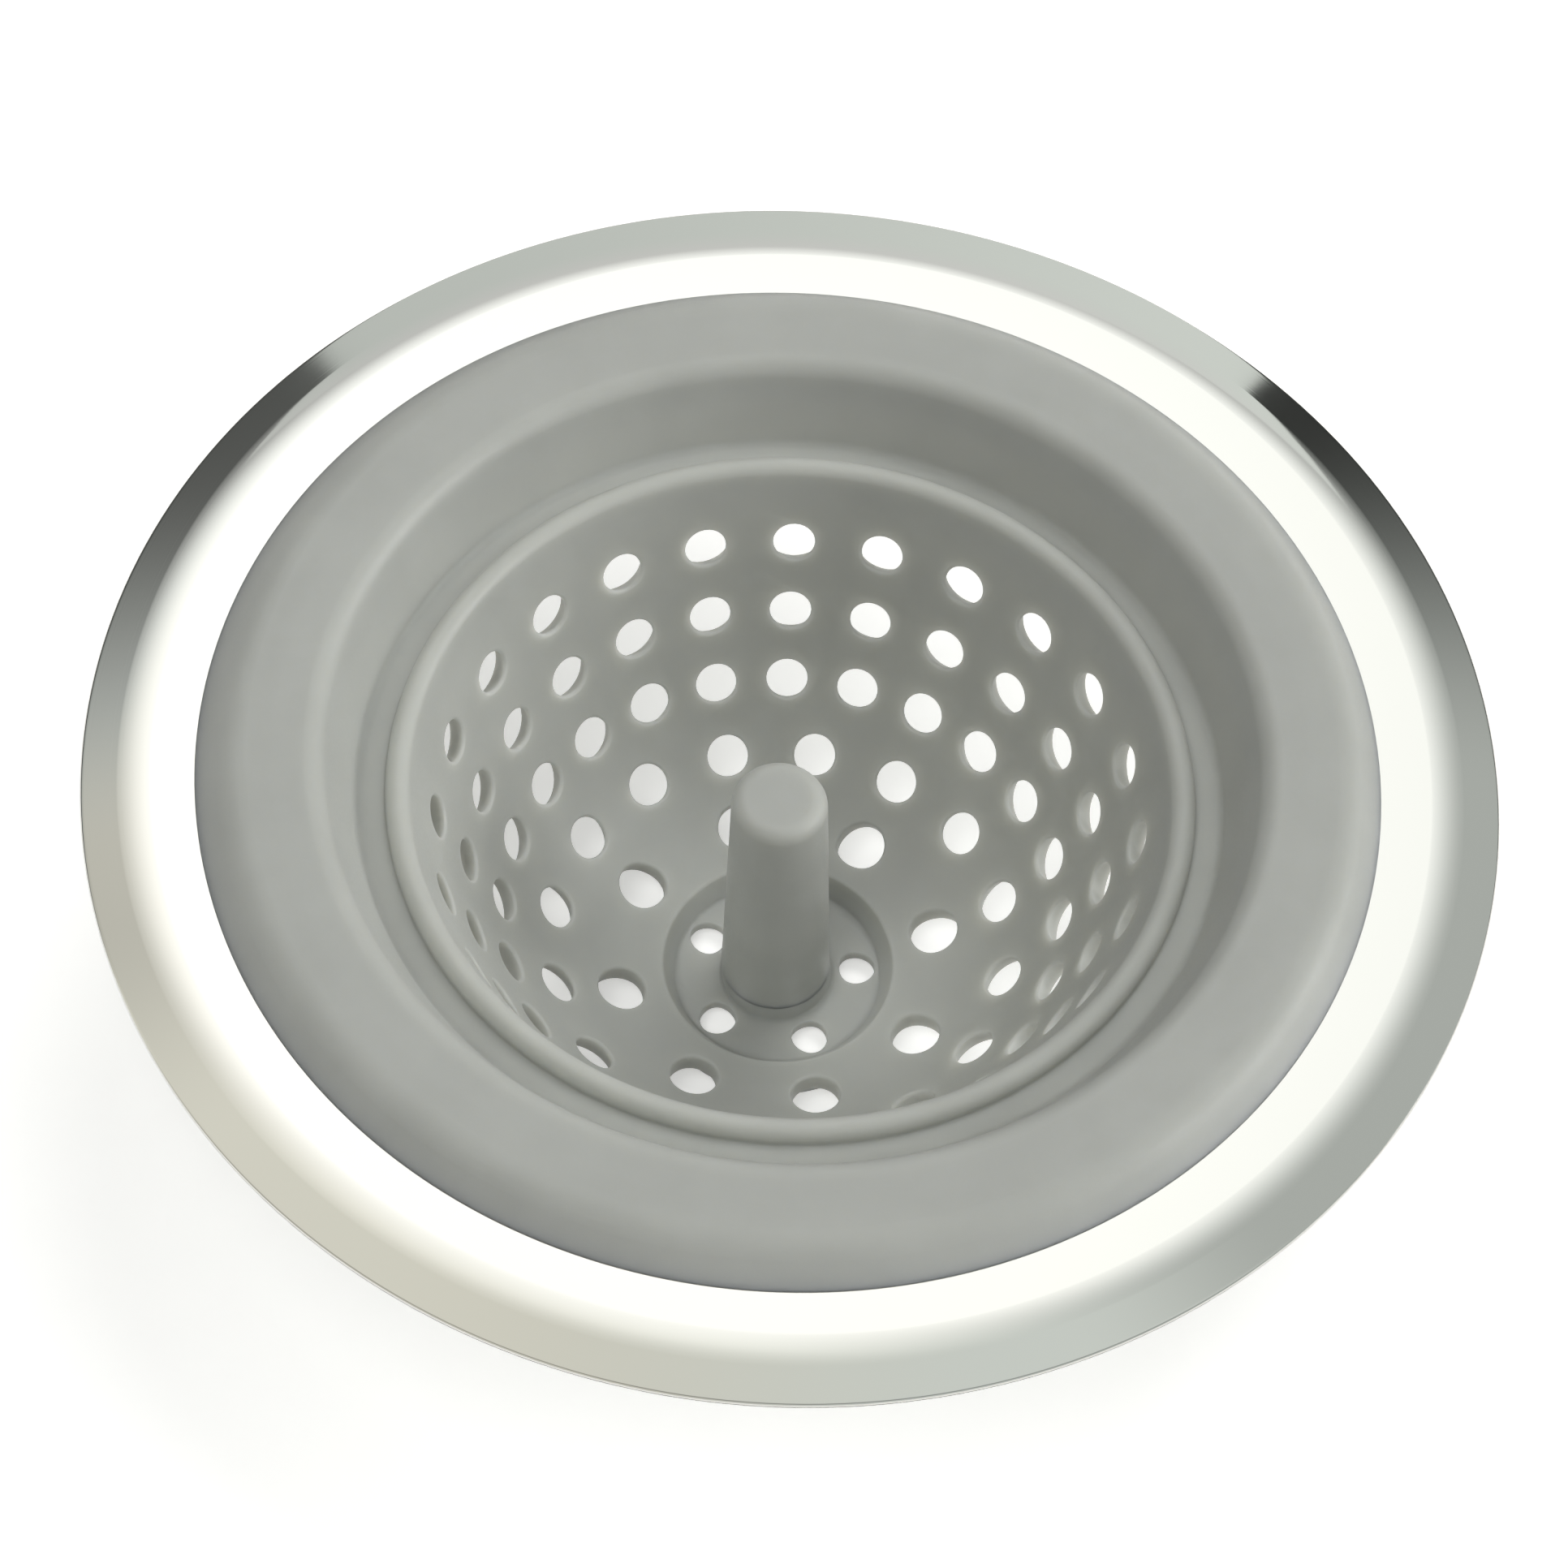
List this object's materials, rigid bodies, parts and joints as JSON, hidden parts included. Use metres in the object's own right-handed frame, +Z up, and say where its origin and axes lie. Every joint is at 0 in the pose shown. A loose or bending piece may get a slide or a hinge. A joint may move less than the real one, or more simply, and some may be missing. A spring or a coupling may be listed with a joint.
{
  "type": "sink strainer basket",
  "caption": "Flexible moulded basket with rows of drain holes, a central grip post and a foot ring, its collar gripping a polished pressed steel ring.",
  "frame": {"origin": "centre of the foot ring's underside, which is the surface that the basket stands on", "axes": "+Z up along the basket's axis, out of the drain; +X and +Y level, with +Y away from the viewer of the picture"},
  "size_m": [0.1142, 0.1142, 0.0368],
  "materials": {
    "steel": "polished stainless steel sheet",
    "silicone": "satin moulded silicone, warm grey"
  },
  "bodies": {
    "ring_and_collar": {"rim_ring": "steel", "collar": "silicone", "bowl_wall": "silicone"},
    "bowl_bottom": {"bowl_floor": "silicone", "grip_post": "silicone"}
  },
  "joints": [
    {"name": "bowl_inside_out", "type": "slide", "parent": "ring_and_collar", "child": "bowl_bottom", "axis": [0, 0, 1], "range_m": [0, 0.05], "deforming": ["bowl_wall"]}
  ]
}
